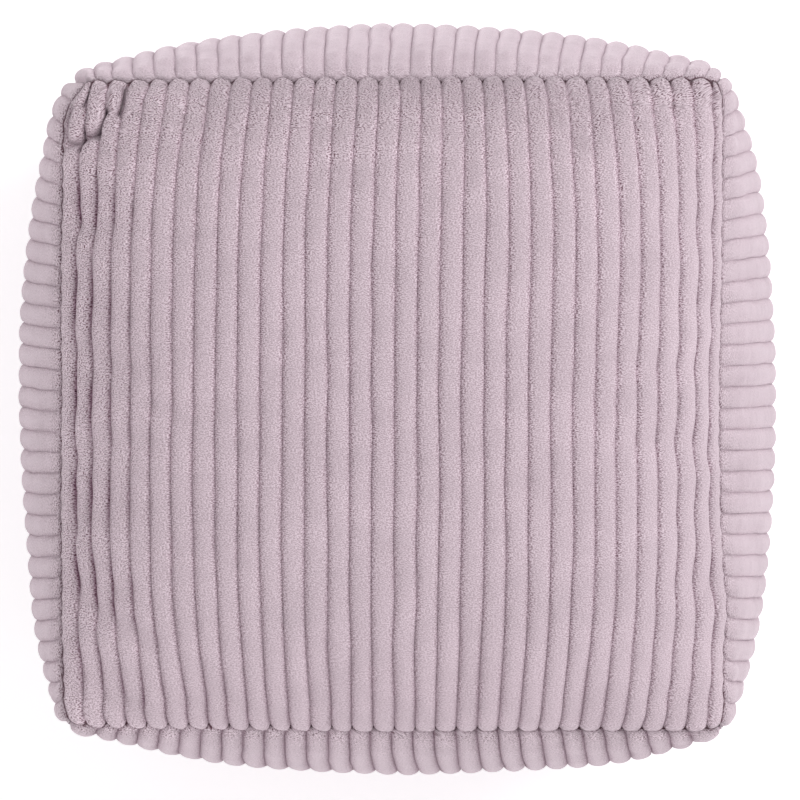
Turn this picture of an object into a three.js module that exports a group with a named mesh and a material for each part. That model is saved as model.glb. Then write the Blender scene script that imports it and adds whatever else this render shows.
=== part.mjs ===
// Square footstool: one block of filling in a cover of wide-ribbed corduroy, standing on the floor.
// Millimetres, +Z up. The origin is the middle of the underside, the sides run along X and Y, and
// the ribs of the top run along Y.
//
// The cover is sewn from six panels: a crowned top, four bulging sides and a base pressed flat by
// the floor. Each solid is one panel together with the filling behind it, so the solids part along
// the sewn seams. A panel's ribs are raised from a smooth base surface, the level of the valleys.

import * as THREE from "three";

const GAP = 0.3; // between the solids of two panels that share a seam

// Plan of the seams and of the belly
const CORNER_X = 162.5; // from the axis to a corner of the top or base seam
const CORNER_Y = 160.5;
const CORNER_DRAW = 2.5; // how much further out a side would reach without its rounded ends
const CORNER_START = 0.926; // share of the half side at which the rounding starts
const BOW_POWER = 2.3; // over 2, so that the middle of a side is flatter than a circle
const SEAM_BOW = 1.5; // how far a seam bows out between its corners
const BELLY_BOW = 23; // the same at the belly
const BELLY_GROWTH = 0.07; // how much wider the corners stand at the belly, as a share

// Heights
const BASE_SEAM_Z = 14;
const TOP_SEAM_Z = 344;
const BELLY_HEIGHT = 0.46; // share of the side's height at which it bulges most
const SWELL_POWER = 2.3; // roundness of the bulge from seam to seam
const CROWN = 43.6; // rise of the top from its seam to the middle
const BASE_ROLL = 30; // fall of the base from its seam, before the floor presses it flat
const DOME_POWER = 3.1; // over 2, so that the crown is broad and its shoulders are short
const DOME_EDGE = 0.75; // under 1, so that the cloth stands upright at the seam

// Seams drawn into the cloth
const LIP = 3.5; // how far the top and base seams are drawn in
const LIP_REACH = 8; // height over which the side comes back out from them
const CORNER_LIP_LOSS = 0.55; // share of the way back out that is missing at a corner
const CORNER_LIP_POWER = 6; // high, so that it is missing near the corners only
const CORNER_PINCH = 3; // how far a corner seam is drawn in at the belly
const PINCH_REACH = 9; // distance along the side over which it comes back out

// Ribs
const TOP_RIBS = 32;
const FIRST_TOP_RIB = 1.15; // width of the rib beside the left seam of the top, in ribs
const LAST_TOP_RIB = 0.72; // the same beside the right seam, which cuts into the rib
const SIDE_RIBS = 31;
const BASE_RIBS = 31; // odd, so that one rib runs through the middle of the underside
const RIB_RISE = 2.4;
const RIB_SQUARENESS = 2.6; // over 2, so that a crest is flatter than a circle
const VALLEY_SHARPNESS = 0.6; // under 1, so that the valleys are narrow
const RIB_TIP = 4; // length over which a rib rounds off at a seam, like a fingertip
const PRESSED_VALLEY = 1.5; // depth that is left of the valleys on the floor
const PRESSED_SECTION = 0.5; // the floor presses whatever stands higher than this on a rib flat
const TOP_STEPS = 4; // strips across one rib
const SIDE_STEPS = 3;

// Section lines along the ribs, by their distance from a seam
const TOP_LINES = [0, 2, 6, 12, 19, 27, 37, 52, 75, 105, 140];
const SIDE_LINES = [0, 2.5, 9, 28, 70, 125];
const BASE_LINES = [0, 4, 10, 18, 60];

// Turn of each side about the axis, and where its first whole rib starts past the corner seam, in
// ribs. The ribs of two sides don't meet evenly at a corner, as they are cut from one plain cloth.
const SIDES = [
  { name: "side_east", quarterTurns: 0, start: 0.25 },
  { name: "side_north", quarterTurns: 1, start: 0.8 },
  { name: "side_west", quarterTurns: 2, start: 0.86 },
  { name: "side_south", quarterTurns: 3, start: 0.5 },
];

// Soft troughs that cross the ribs of the top, as straight runs between two points of its plan.
// The deep one folds the back left corner over.
const CREASES = [
  { fromX: -166, fromY: 127, toX: -131, toY: 153, depth: 5.5, halfWidth: 7 },
  { fromX: -150, fromY: -100, toX: -118, toY: -118, depth: 1.6, halfWidth: 9 },
  { fromX: -152, fromY: -45, toX: -158, toY: -62, depth: 1.2, halfWidth: 8 },
];

const CLOTH = { color: 0xc2b0b9, roughness: 0.95, metalness: 0 };

const clamp01 = (value) => Math.min(1, Math.max(0, value));

// From 0 at distance 0 to 1 at the reach and beyond, starting steeply.
const easeOut = (distance, reach) => 1 - (1 - clamp01(distance / reach)) ** 2;

// How far a side reaches out at share t across it, from -1 at one corner to 1 at the other.
function sideReach(corner, t, growth, bow) {
  const rounding = clamp01((Math.abs(t) - CORNER_START) / (1 - CORNER_START)) ** 2;
  return corner * growth + CORNER_DRAW * (1 - rounding) + bow * (1 - Math.abs(t) ** BOW_POWER);
}

// Height of a crowned panel over its seam, as a share of its crown, at shares s and t across it.
function dome(s, t) {
  const square = clamp01(1 - Math.abs(s) ** DOME_POWER) * clamp01(1 - Math.abs(t) ** DOME_POWER);
  return square ** DOME_EDGE;
}

function seamPlan(s, t) {
  const x = s * sideReach(CORNER_X, t, 1, SEAM_BOW);
  const y = t * sideReach(CORNER_Y, s, 1, SEAM_BOW);
  return [x, y];
}

function topBase(s, t) {
  const z = TOP_SEAM_Z + GAP / 2 + CROWN * dome(s, t);
  return new THREE.Vector3(...seamPlan(s, t), z);
}

function underBase(s, t) {
  const z = BASE_SEAM_Z - GAP / 2 - BASE_ROLL * dome(s, t);
  return new THREE.Vector3(...seamPlan(s, t), z);
}

// Share of the full bulge at share v of the side's height.
function swell(v) {
  const span = v < BELLY_HEIGHT ? BELLY_HEIGHT : 1 - BELLY_HEIGHT;
  return 1 - (Math.abs(v - BELLY_HEIGHT) / span) ** SWELL_POWER;
}

// A side's base surface before it is turned to its place: it faces +X, s runs along Y from corner
// to corner and v runs from the base seam to the top seam. Growth scales X and Y alike, so both
// corner seams stay on the diagonals that the four sides share.
function sideBase(cornerOut, cornerAlong, s, v) {
  const low = BASE_SEAM_Z + GAP / 2;
  const high = TOP_SEAM_Z - GAP / 2;
  const bulge = swell(v);
  const seamDistance = Math.min(v, 1 - v) * (high - low);
  const cornerDistance = (1 - Math.abs(s)) * cornerAlong;
  const lipLoss = CORNER_LIP_LOSS * Math.abs(s) ** CORNER_LIP_POWER;
  const lip = (LIP / cornerOut) * easeOut(seamDistance, LIP_REACH) * (1 - lipLoss);
  const pinch = (CORNER_PINCH / cornerOut) * bulge * (1 - easeOut(cornerDistance, PINCH_REACH));
  const growth = 1 + BELLY_GROWTH * bulge + lip - pinch;
  const bow = SEAM_BOW + (BELLY_BOW - SEAM_BOW) * bulge;
  const clearance = ((GAP / 2) * Math.hypot(cornerOut, cornerAlong)) / cornerOut;
  const x = sideReach(cornerOut, s, growth, bow);
  const y = s * (cornerAlong * growth - clearance);
  return new THREE.Vector3(x, y, low + (high - low) * v);
}

// Outward normal of a surface at (s, t), by small steps that stay on it.
function surfaceNormal(surface, s, t) {
  const step = 0.002;
  const s0 = Math.max(-1, s - step);
  const s1 = Math.min(1, s + step);
  const t0 = Math.max(surface.firstLine, t - step);
  const t1 = Math.min(1, t + step);
  const across = surface.at(s1, t).sub(surface.at(s0, t));
  const along = surface.at(s, t1).sub(surface.at(s, t0));
  return across.cross(along).normalize().multiplyScalar(surface.facing);
}

// Parameters of a curve, given from first to last, at the wanted lengths along it. Lengths are in
// millimetres, or shares of the whole when asShare is set. The samples crowd towards both ends.
function parametersAt(curve, first, last, wanted, asShare) {
  const samples = 400;
  const parameter = (i) => {
    const spread = (1 + Math.sin(Math.PI * (i / samples - 0.5))) / 2;
    return first + (last - first) * spread;
  };
  const lengths = [0];
  let before = curve(first);
  for (let i = 1; i <= samples; i += 1) {
    const point = curve(parameter(i));
    lengths.push(lengths[i - 1] + point.distanceTo(before));
    before = point;
  }
  const whole = lengths[samples];
  let i = 1;
  return wanted.map((value) => {
    const length = Math.min(whole, asShare ? value * whole : value);
    while (i < samples && lengths[i] < length) {
      i += 1;
    }
    const within = (length - lengths[i - 1]) / (lengths[i] - lengths[i - 1]);
    return parameter(i - 1 + clamp01(within));
  });
}

// Section lines from seam to seam, as distances from the first, where both halves are alike.
function mirroredLines(distances, whole) {
  const far = distances.map((distance) => whole - distance).reverse();
  return [...distances, ...far];
}

function curveLength(curve, first, last) {
  let length = 0;
  let before = curve(first);
  const samples = 400;
  for (let i = 1; i <= samples; i += 1) {
    const point = curve(first + ((last - first) * i) / samples);
    length += point.distanceTo(before);
    before = point;
  }
  return length;
}

// Places of the strips across a panel, counted in ribs from its first edge. Every valley is one,
// and the part of a rib that is left at an edge has at least two strips.
function ribColumns(ribs, start, steps) {
  const stops = [0];
  for (let valley = start > 0 ? start : 1; valley < ribs; valley += 1) {
    stops.push(valley);
  }
  stops.push(ribs);
  const places = [0];
  for (let i = 1; i < stops.length; i += 1) {
    const width = stops[i] - stops[i - 1];
    const strips = Math.max(2, Math.round(steps * width));
    for (let k = 1; k <= strips; k += 1) {
      places.push(stops[i - 1] + (width * k) / strips);
    }
  }
  return places;
}

// Length from a panel's first edge to a place across it, in ribs of the common width.
function widthBefore(place, ribs, firstRib, lastRib) {
  const middle = Math.min(ribs - 2, Math.max(0, place - 1));
  return Math.min(1, place) * firstRib + middle + Math.max(0, place - ribs + 1) * lastRib;
}

// Height of a rib's section, 0 in a valley and 1 on the crest.
function ribSection(place, start) {
  const phase = (((place - start) % 1) + 1) % 1;
  return (1 - Math.abs(2 * phase - 1) ** RIB_SQUARENESS) ** VALLEY_SHARPNESS;
}

// Round-off of a rib where it ends, 0 at a seam and 1 past its tip.
function ribTip(distance) {
  return Math.sqrt(easeOut(distance, RIB_TIP));
}

function creaseDepth(point) {
  let depth = 0;
  for (const crease of CREASES) {
    const run = new THREE.Vector2(crease.toX - crease.fromX, crease.toY - crease.fromY);
    const offset = new THREE.Vector2(point.x - crease.fromX, point.y - crease.fromY);
    const along = clamp01(offset.dot(run) / run.lengthSq());
    const distance = offset.sub(run.multiplyScalar(along)).length();
    depth += crease.depth * Math.exp(-((distance / crease.halfWidth) ** 2));
  }
  return depth;
}

// Distance of every point of a grid row or column from the nearer of its two ends.
function distanceFromEnds(points) {
  const from = [0];
  for (let i = 1; i < points.length; i += 1) {
    from.push(from[i - 1] + points[i].distanceTo(points[i - 1]));
  }
  const whole = from[from.length - 1];
  return from.map((length) => Math.min(length, whole - length));
}

// Points of a ribbed panel, line by line along its ribs and column by column across them. The ribs
// are evenly spaced along every line, as on flat cloth, but for the first and the last rib of the
// top. A rib that an edge cuts is rounded off there.
function ribbedGrid(surface, lines, places, ribs, start) {
  const [firstRib, lastRib] = surface.endRibs;
  const whole = widthBefore(ribs, ribs, firstRib, lastRib);
  const shares = places.map((place) => widthBefore(place, ribs, firstRib, lastRib) / whole);
  const base = lines.map((t) => {
    const across = parametersAt((s) => surface.at(s, t), -1, 1, shares, true);
    return across.map((s) => ({ s, t, point: surface.at(s, t) }));
  });
  const alongDistance = places.map((_, j) => distanceFromEnds(base.map((line) => line[j].point)));
  return base.map((line, i) => {
    const acrossDistance = distanceFromEnds(line.map((cell) => cell.point));
    return line.map((cell, j) => {
      const edge = Math.min(alongDistance[j][i], acrossDistance[j]);
      if (edge === 0) {
        return cell.point;
      }
      const section = ribSection(places[j], start);
      const cut = start === 0 ? 1 : ribTip(acrossDistance[j]);
      const rise = RIB_RISE * section * cut * ribTip(alongDistance[j][i]);
      const fall = surface.creased ? creaseDepth(cell.point) * easeOut(edge, RIB_TIP) : 0;
      const normal = surfaceNormal(surface, cell.s, cell.t);
      const point = cell.point.clone().addScaledVector(normal, rise - fall);
      return surface.limit(point, section);
    });
  });
}

// Collects triangles. A face lists its corners anticlockwise as seen from outside.
class Faces {
  constructor() {
    this.positions = [];
  }

  triangle(...corners) {
    for (const corner of corners) {
      this.positions.push(corner.x, corner.y, corner.z);
    }
  }

  grid(rows) {
    for (let i = 0; i + 1 < rows.length; i += 1) {
      for (let j = 0; j + 1 < rows[i].length; j += 1) {
        this.triangle(rows[i][j], rows[i][j + 1], rows[i + 1][j + 1]);
        this.triangle(rows[i][j], rows[i + 1][j + 1], rows[i + 1][j]);
      }
    }
  }

  fan(centre, path) {
    for (let i = 0; i + 1 < path.length; i += 1) {
      this.triangle(centre, path[i], path[i + 1]);
    }
  }

  geometry() {
    const geometry = new THREE.BufferGeometry();
    geometry.setAttribute("position", new THREE.Float32BufferAttribute(this.positions, 3));
    geometry.computeVertexNormals();
    return geometry;
  }
}

// The loop around a grid, clockwise as seen from its outer side.
function loopAround(rows) {
  const last = rows.length - 1;
  const end = rows[0].length - 1;
  const up = rows.map((row) => row[0]);
  const across = rows[last].slice(1);
  const down = rows.map((row) => row[end]).reverse().slice(1);
  const back = rows[0].slice().reverse().slice(1);
  return [...up, ...across, ...down, ...back];
}

// A panel with a flat seam plane behind it, such as the top and the base.
function cappedPanel(rows) {
  const faces = new Faces();
  faces.grid(rows);
  faces.fan(new THREE.Vector3(0, 0, rows[0][0].z), loopAround(rows));
  return faces.geometry();
}

function topPanel() {
  const surface = {
    at: topBase,
    firstLine: -1,
    facing: 1,
    creased: true,
    endRibs: [FIRST_TOP_RIB, LAST_TOP_RIB],
    limit: (point) => point.setZ(Math.max(point.z, TOP_SEAM_Z + GAP / 2)),
  };
  const middle = (t) => topBase(0, t);
  const distances = mirroredLines(TOP_LINES, curveLength(middle, -1, 1));
  const lines = parametersAt(middle, -1, 1, distances, false);
  const places = ribColumns(TOP_RIBS, 0, TOP_STEPS);
  return cappedPanel(ribbedGrid(surface, lines, places, TOP_RIBS, 0));
}

// The base hangs down to the floor, which presses its ribs flat and leaves shallow valleys.
function basePanel() {
  const surface = {
    at: underBase,
    firstLine: -1,
    facing: -1,
    creased: false,
    endRibs: [1, 1],
    limit: (point, section) => {
      const floor = section < PRESSED_SECTION ? PRESSED_VALLEY : 0;
      return point.setZ(Math.min(BASE_SEAM_Z - GAP / 2, Math.max(floor, point.z)));
    },
  };
  const middle = (t) => underBase(0, t);
  const distances = mirroredLines(BASE_LINES, curveLength(middle, -1, 1));
  const lines = parametersAt(middle, -1, 1, distances, false);
  const places = ribColumns(BASE_RIBS, 0, TOP_STEPS);
  const rows = ribbedGrid(surface, lines, places, BASE_RIBS, 0);
  return cappedPanel(rows.map((row) => row.reverse()));
}

// A side with its wedge of filling, which reaches in to the axis between two diagonals.
function sidePanel({ quarterTurns, start }) {
  const alongX = quarterTurns % 2 === 0;
  const cornerOut = alongX ? CORNER_X : CORNER_Y;
  const cornerAlong = alongX ? CORNER_Y : CORNER_X;
  const low = BASE_SEAM_Z + GAP / 2;
  const high = TOP_SEAM_Z - GAP / 2;
  const surface = {
    at: (s, v) => sideBase(cornerOut, cornerAlong, s, v),
    firstLine: 0,
    facing: 1,
    creased: false,
    endRibs: [1, 1],
    limit: (point) => point.setZ(Math.min(high, Math.max(low, point.z))),
  };
  const lines = mirroredLines(SIDE_LINES, high - low).map((height) => height / (high - low));
  const places = ribColumns(SIDE_RIBS, start, SIDE_STEPS);
  const rows = ribbedGrid(surface, lines, places, SIDE_RIBS, start);
  const toAxis = ((GAP / 2) * Math.hypot(cornerOut, cornerAlong)) / cornerAlong;
  const axisLow = new THREE.Vector3(toAxis, 0, low);
  const axisHigh = new THREE.Vector3(toAxis, 0, high);
  const last = rows.length - 1;
  const end = rows[0].length - 1;
  const faces = new Faces();
  faces.grid(rows);
  faces.fan(axisLow, rows[0].slice().reverse());
  faces.fan(axisHigh, rows[last]);
  faces.fan(axisLow, [...rows.map((row) => row[0]), axisHigh]);
  faces.fan(axisLow, [axisHigh, ...rows.map((row) => row[end]).reverse()]);
  return faces.geometry();
}

function panelMesh(name, geometry) {
  const mesh = new THREE.Mesh(geometry, new THREE.MeshStandardMaterial(CLOTH));
  mesh.name = name;
  return mesh;
}

const footstool = new THREE.Group();
footstool.add(panelMesh("top_panel", topPanel()));
for (const side of SIDES) {
  const mesh = panelMesh(side.name, sidePanel(side));
  mesh.rotation.z = (side.quarterTurns * Math.PI) / 2;
  footstool.add(mesh);
}
footstool.add(panelMesh("base_panel", basePanel()));

export default footstool;
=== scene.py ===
import math

import bpy
import numpy as np
from mathutils import Matrix, Vector


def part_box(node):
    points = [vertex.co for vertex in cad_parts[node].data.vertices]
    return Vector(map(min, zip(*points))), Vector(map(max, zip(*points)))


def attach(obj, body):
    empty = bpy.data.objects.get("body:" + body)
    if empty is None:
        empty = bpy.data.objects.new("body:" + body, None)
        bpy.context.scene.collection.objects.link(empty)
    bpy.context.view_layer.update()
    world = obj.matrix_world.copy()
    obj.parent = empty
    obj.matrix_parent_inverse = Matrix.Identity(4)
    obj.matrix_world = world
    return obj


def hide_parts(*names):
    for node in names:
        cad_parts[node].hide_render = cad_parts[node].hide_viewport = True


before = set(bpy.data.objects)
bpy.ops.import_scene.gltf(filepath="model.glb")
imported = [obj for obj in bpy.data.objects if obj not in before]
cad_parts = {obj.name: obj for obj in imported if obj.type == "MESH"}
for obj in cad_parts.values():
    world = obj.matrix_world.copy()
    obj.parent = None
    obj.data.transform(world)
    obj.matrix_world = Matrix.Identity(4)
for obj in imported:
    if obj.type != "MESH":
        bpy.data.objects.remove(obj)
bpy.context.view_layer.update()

# Square footstool: one block of filling in a cover of wide-ribbed corduroy, sewn from six panels.
# Metres, +Z up. Each panel is a closed piece with the filling behind it, parted from the next one
# along the sewn seam. First a coarse cover is blown up as cloth, so that it puckers at its seams.
# Then each panel gets its fine surface, and its ribs are raised by Geometry Nodes.

MM = 0.001
TINY = 1e-12  # keeps a length from being divided by nothing

# Sizes taken from the frame
TOP_LOW, TOP_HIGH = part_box("top_panel")
BASE_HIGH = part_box("base_panel")[1]
EAST_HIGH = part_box("side_east")[1]
TOP_SEAM_Z = TOP_LOW.z
BASE_SEAM_Z = BASE_HIGH.z

# Ribs
TOP_RIBS = 32
SIDE_RIBS = 31
BASE_RIBS = 31
RIB_RISE = 2.4 * MM
PRESSED_VALLEY = 1.5 * MM  # depth that is left of the valleys on the floor

# Plan of the seams and of the belly
GAP = 0.3 * MM  # between two panels that share a seam
CORNER_DRAW = 2.5 * MM  # how much further out a side would reach without its rounded ends
CORNER_START = 0.926  # share of the half side at which the rounding starts
BOW_POWER = 2.3  # over 2, so that the middle of a side is flatter than a circle
SEAM_BOW = 1.5 * MM  # how far a seam bows out between its corners
BELLY_BOW = 23 * MM  # the same at the belly
LIP = 3.5 * MM  # how far the top and base seams are drawn in
LIP_REACH = 8 * MM  # height over which the side comes back out from them
CORNER_LIP_LOSS = 0.55  # share of that which is missing at the corners
CORNER_LIP_POWER = 6  # by which that share grows towards the corners
CORNER_PINCH = 3 * MM  # how far a corner seam is drawn in at the belly
PINCH_REACH = 9 * MM  # distance along the side over which it comes back out
MIDDLE_VALLEY = 0.5 * MM  # what the base panel's box lacks, as no rib crest lies at its middle
CORNER_X = BASE_HIGH.x - CORNER_DRAW - SEAM_BOW + MIDDLE_VALLEY
CORNER_Y = BASE_HIGH.y - CORNER_DRAW - SEAM_BOW
PILE_NOISE = 1.2 * MM  # how far single tufts and ribs stand out of the frame's even ribs
BELLY_REACH = EAST_HIGH.x - RIB_RISE - PILE_NOISE
BELLY_GROWTH = (BELLY_REACH - BELLY_BOW - CORNER_DRAW - LIP) / CORNER_X - 1

# Heights
CROWN_LOSS = 0.3 * MM  # what the crown loses to the body's unevenness
CROWN = TOP_HIGH.z - TOP_SEAM_Z - RIB_RISE + CROWN_LOSS
BASE_ROLL = 30 * MM  # fall of the base from its seam, before the floor presses it flat
BELLY_HEIGHT = 0.46  # share of the side's height at which it bulges most
SWELL_POWER = 2.3  # roundness of the bulge from seam to seam
DOME_POWER = 3.1  # over 2, so that the crown is broad and its shoulders are short
DOME_EDGE = 0.75  # under 1, so that the cloth stands upright at the seam

# The sides. Each has its quarter turns about the axis, and where its ribs start past the corner
# seam, in ribs. Of its top seam it has how far the middle is drawn in, in millimetres, how much
# painted shade darkens its groove, and the length of the rounded rib ends, or tips, in millimetres.
# Of its pile it has its painted light and shade, the painted shade in its valleys, which paints them
# lighter where it is below 0, and how open it stands, from 0 to 1.
SIDES = [
    {"name": "side_east", "quarter_turns": 0, "start": 0.25, "drawn": 2.3, "groove": 0.1,
     "shade": 0.955, "valley": -0.12, "open": 0.28, "tip": 2.4},
    {"name": "side_north", "quarter_turns": 1, "start": 0.68, "drawn": 3.4, "groove": 0.1,
     "shade": 0.95, "valley": -0.27, "open": 0.3, "tip": 3.0},
    {"name": "side_west", "quarter_turns": 2, "start": 0.86, "drawn": 1.2, "groove": 0.2,
     "shade": 1.04, "valley": -0.14, "open": 0.53, "tip": 2.4},
    {"name": "side_south", "quarter_turns": 3, "start": 0.5, "drawn": 3.0, "groove": 0.2,
     "shade": 1.235, "valley": 0.32, "open": 0.68, "tip": 1.4},
]

# Soft creases in the top, in millimetres: the points they run through, their depth and half width,
# and how much painted shade darkens them
CREASES = [
    {"through": [(-165, 130), (-155, 132), (-147, 136)], "depth": 6, "half_width": 5, "shade": 0.12},
    {"through": [(-133.2, 160.5), (-134, 152), (-135.6, 145)],
     "depth": 3.4, "half_width": 2.4, "shade": 0.5},
    {"through": [(-141.4, 146.5), (-146, 136.5)], "depth": 4.4, "half_width": 2.8, "shade": 0.5},
    {"through": [(-154, 137), (-156, 128)], "depth": 3.4, "half_width": 3, "shade": 0.4},
    {"through": [(-154, 160), (-155, 150)], "depth": 2.4, "half_width": 2.6, "shade": 0.35},
    {"through": [(-162, 148), (-163.5, 134)], "depth": 2.4, "half_width": 2.8, "shade": 0.3},
    {"through": [(-150, -100), (-118, -118)], "depth": 1.6, "half_width": 9, "shade": 0},
    {"through": [(-152, -45), (-158, -62)], "depth": 1.2, "half_width": 8, "shade": 0},
    {"through": [(-157, 92), (-150, 88)], "depth": 1.2, "half_width": 8, "shade": 0},
    {"through": [(-128, -150), (-133, -160)], "depth": 1.2, "half_width": 7, "shade": 0},
]
CREASE_END = 6 * MM  # distance from a seam over which a crease runs out

# Places where the body is drawn in by its seams, in millimetres: where, how far, and how far this
# reaches round about and up and down
TUCKS = [
    {"at": (-166, 163, 344), "by": (9.5, 0.3, -2), "reach": 12, "drop": 60},
    {"at": (-166, -163, 344), "by": (0.6, 0.4, 0), "reach": 18, "drop": 30},
    {"at": (-176, -174, 270), "by": (2.6, 2.2, 0), "reach": 30, "drop": 50},
    {"at": (166, -163, 344), "by": (0.8, -0.4, 0), "reach": 18, "drop": 30},
    {"at": (168, 5, 344), "by": (-1.8, 0, 0), "reach": 70, "drop": 30},
    {"at": (170, -100, 344), "by": (2.4, 0, 0), "reach": 20, "drop": 20},
    {"at": (-188, 135, 270), "by": (2.6, -1.0, 0), "reach": 45, "drop": 130},
    {"at": (182, 146, 255), "by": (-1.5, -0.5, 0), "reach": 26, "drop": 60},
    {"at": (-204, 0, 200), "by": (1.3, 0, 0), "reach": 80, "drop": 150},
    {"at": (204, -50, 200), "by": (0.8, 0, 0), "reach": 60, "drop": 150},
    {"at": (135, 192, 230), "by": (0, -2.3, 0), "reach": 36, "drop": 150},
    {"at": (-140, 190, 230), "by": (0, -2.8, 0), "reach": 36, "drop": 150},
    {"at": (-140, -190, 230), "by": (0, 3.4, 0), "reach": 36, "drop": 150},
    {"at": (112, -197, 230), "by": (0, -2, 0), "reach": 36, "drop": 150},
]


def ease_out(distance, reach):
    """From 0 at distance 0 to 1 at the reach and beyond, starting steeply."""
    return 1 - (1 - np.clip(distance / reach, 0, 1)) ** 2


def ease(share):
    """From 0 to 1 as the share goes from 0 to 1, level at both ends."""
    held = np.clip(share, 0, 1)
    return held * held * (3 - 2 * held)


def side_reach(corner, t, growth, bow):
    """How far a side reaches out at share t across it, from -1 at one corner to 1 at the other."""
    rounding = np.clip((np.abs(t) - CORNER_START) / (1 - CORNER_START), 0, 1) ** 2
    return corner * growth + CORNER_DRAW * (1 - rounding) + bow * (1 - np.abs(t) ** BOW_POWER)


def dome(s, t):
    """Height of a crowned panel over its seam, as a share of its crown."""
    square = np.clip(1 - np.abs(s) ** DOME_POWER, 0, 1) * np.clip(1 - np.abs(t) ** DOME_POWER, 0, 1)
    return square**DOME_EDGE


def cap_surface(seam_z, rise):
    """The smooth surface of the top or the base, from the height of its seam and how far its middle
    stands off that. The parameters s, along X, and t, along Y, run from -1 to 1."""

    def surface(s, t):
        x = s * side_reach(CORNER_X, t, 1, SEAM_BOW)
        y = t * side_reach(CORNER_Y, s, 1, SEAM_BOW)
        return np.stack([x, y, seam_z + rise * dome(s, t)], axis=-1)

    return surface


def swell(v):
    """Share of the full bulge at share v of the side's height."""
    span = np.where(v < BELLY_HEIGHT, BELLY_HEIGHT, 1 - BELLY_HEIGHT)
    return 1 - (np.abs(v - BELLY_HEIGHT) / span) ** SWELL_POWER


def side_surface(quarter_turns, gap):
    """A side's smooth surface in its place. The parameter s runs from corner to corner and t, from
    -1 to 1, from the base seam to the top seam."""
    out, along = (CORNER_X, CORNER_Y) if quarter_turns % 2 == 0 else (CORNER_Y, CORNER_X)
    low = BASE_SEAM_Z + gap
    high = TOP_SEAM_Z - gap
    clearance = gap / 2 * math.hypot(out, along) / out
    angle = quarter_turns * math.pi / 2

    def surface(s, t):
        v = (t + 1) / 2
        bulge = swell(v)
        lip = LIP / out * ease_out(np.minimum(v, 1 - v) * (high - low), LIP_REACH)
        lip = lip * (1 - CORNER_LIP_LOSS * np.abs(s) ** CORNER_LIP_POWER)
        pinch = CORNER_PINCH / out * bulge * (1 - ease_out((1 - np.abs(s)) * along, PINCH_REACH))
        growth = 1 + BELLY_GROWTH * bulge + lip - pinch
        bow = SEAM_BOW + (BELLY_BOW - SEAM_BOW) * bulge
        x = side_reach(out, s, growth, bow)
        y = s * (along * growth - clearance)
        z = low + (high - low) * v
        turned_x = x * math.cos(angle) - y * math.sin(angle)
        turned_y = x * math.sin(angle) + y * math.cos(angle)
        return np.stack([turned_x, turned_y, z], axis=-1)

    return surface


def lengths_along(points):
    """Running length along the second last axis of an array of points."""
    steps = np.linalg.norm(np.diff(points, axis=-2), axis=-1)
    start = np.zeros(steps.shape[:-1] + (1,))
    return np.concatenate([start, np.cumsum(steps, axis=-1)], axis=-1)


def smooth_read(grid, s, t):
    """Reads a coarse grid over -1 to 1 at shares s and t, with a smooth curve between its points."""
    last = grid.shape[0] - 1

    def weights(share):
        place = np.clip((share + 1) / 2 * last, 0, last)
        cell = np.minimum(place.astype(int), last - 1)
        f = place - cell
        near = [-f / 2 + f**2 - f**3 / 2, 1 - 2.5 * f**2 + 1.5 * f**3]
        far = [f / 2 + 2 * f**2 - 1.5 * f**3, -(f**2) / 2 + f**3 / 2]
        return [(np.clip(cell + k - 1, 0, last), w) for k, w in enumerate(near + far)]

    total = 0
    for row, row_weight in weights(t):
        for column, column_weight in weights(s):
            total = total + (row_weight * column_weight)[..., None] * grid[row, column]
    return total


# The cover as cloth

COVER_CELLS = 36  # of each panel, both ways
CLOTH_FRAMES = 20
CLOTH_PRESSURE = 4.0
CLOTH_EXCESS = 0.02  # how much wider the cloth is cut than the seams that hold it
PUCKER_SHARE = 0.45  # how much of the puckering is kept
SLIDE_SHARE = 0.3  # how much of that is kept along the cloth
MOST_MOVED = 3 * MM  # by any point of the cloth
EVEN_POWERS = 5  # powers, from 0, of the surface that is fitted to the even swelling
SAME_POINT = 0.05 * MM  # points of two panels that lie closer than this are one


def cover_panels(gap):
    """The smooth surface of each panel, by name, with a gap between the sides."""
    panels = {"top_panel": cap_surface(TOP_SEAM_Z, CROWN)}
    for side in SIDES:
        panels[side["name"]] = side_surface(side["quarter_turns"], gap)
    panels["base_panel"] = cap_surface(BASE_SEAM_Z, -BASE_ROLL)
    return panels


def grid_faces(rows, columns, offset, flipped):
    """Four-sided faces over a grid of points that starts at an offset."""
    i, j = np.meshgrid(np.arange(rows - 1), np.arange(columns - 1), indexing="ij")
    a = offset + i * columns + j
    corners = [a, a + 1, a + columns + 1, a + columns]
    if flipped:
        corners.reverse()
    return np.stack(corners, axis=-1).reshape(-1, 4)


def new_mesh(name, points, faces):
    mesh = bpy.data.meshes.new(name)
    mesh.from_pydata(points.tolist(), [], faces)
    return mesh


def put(name, data):
    """Puts a new object in the scene."""
    thing = bpy.data.objects.new(name, data)
    bpy.context.scene.collection.objects.link(thing)
    return thing


def cloth_on(cover, seams):
    """Gives the cover its cloth, held at its seams and pressed out from inside."""
    settings = cover.modifiers.new("cloth", "CLOTH").settings
    settings.quality = 6
    settings.mass = 0.3
    settings.tension_stiffness = 20
    settings.compression_stiffness = 20
    settings.shear_stiffness = 8
    settings.bending_stiffness = 1.5
    settings.air_damping = 2
    settings.use_pressure = True
    settings.uniform_pressure_force = CLOTH_PRESSURE
    settings.shrink_min = -CLOTH_EXCESS
    settings.vertex_group_mass = seams.name
    settings.effector_weights.gravity = 0
    cache = cover.modifiers["cloth"].point_cache
    cache.frame_start = 1
    cache.frame_end = CLOTH_FRAMES


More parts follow.
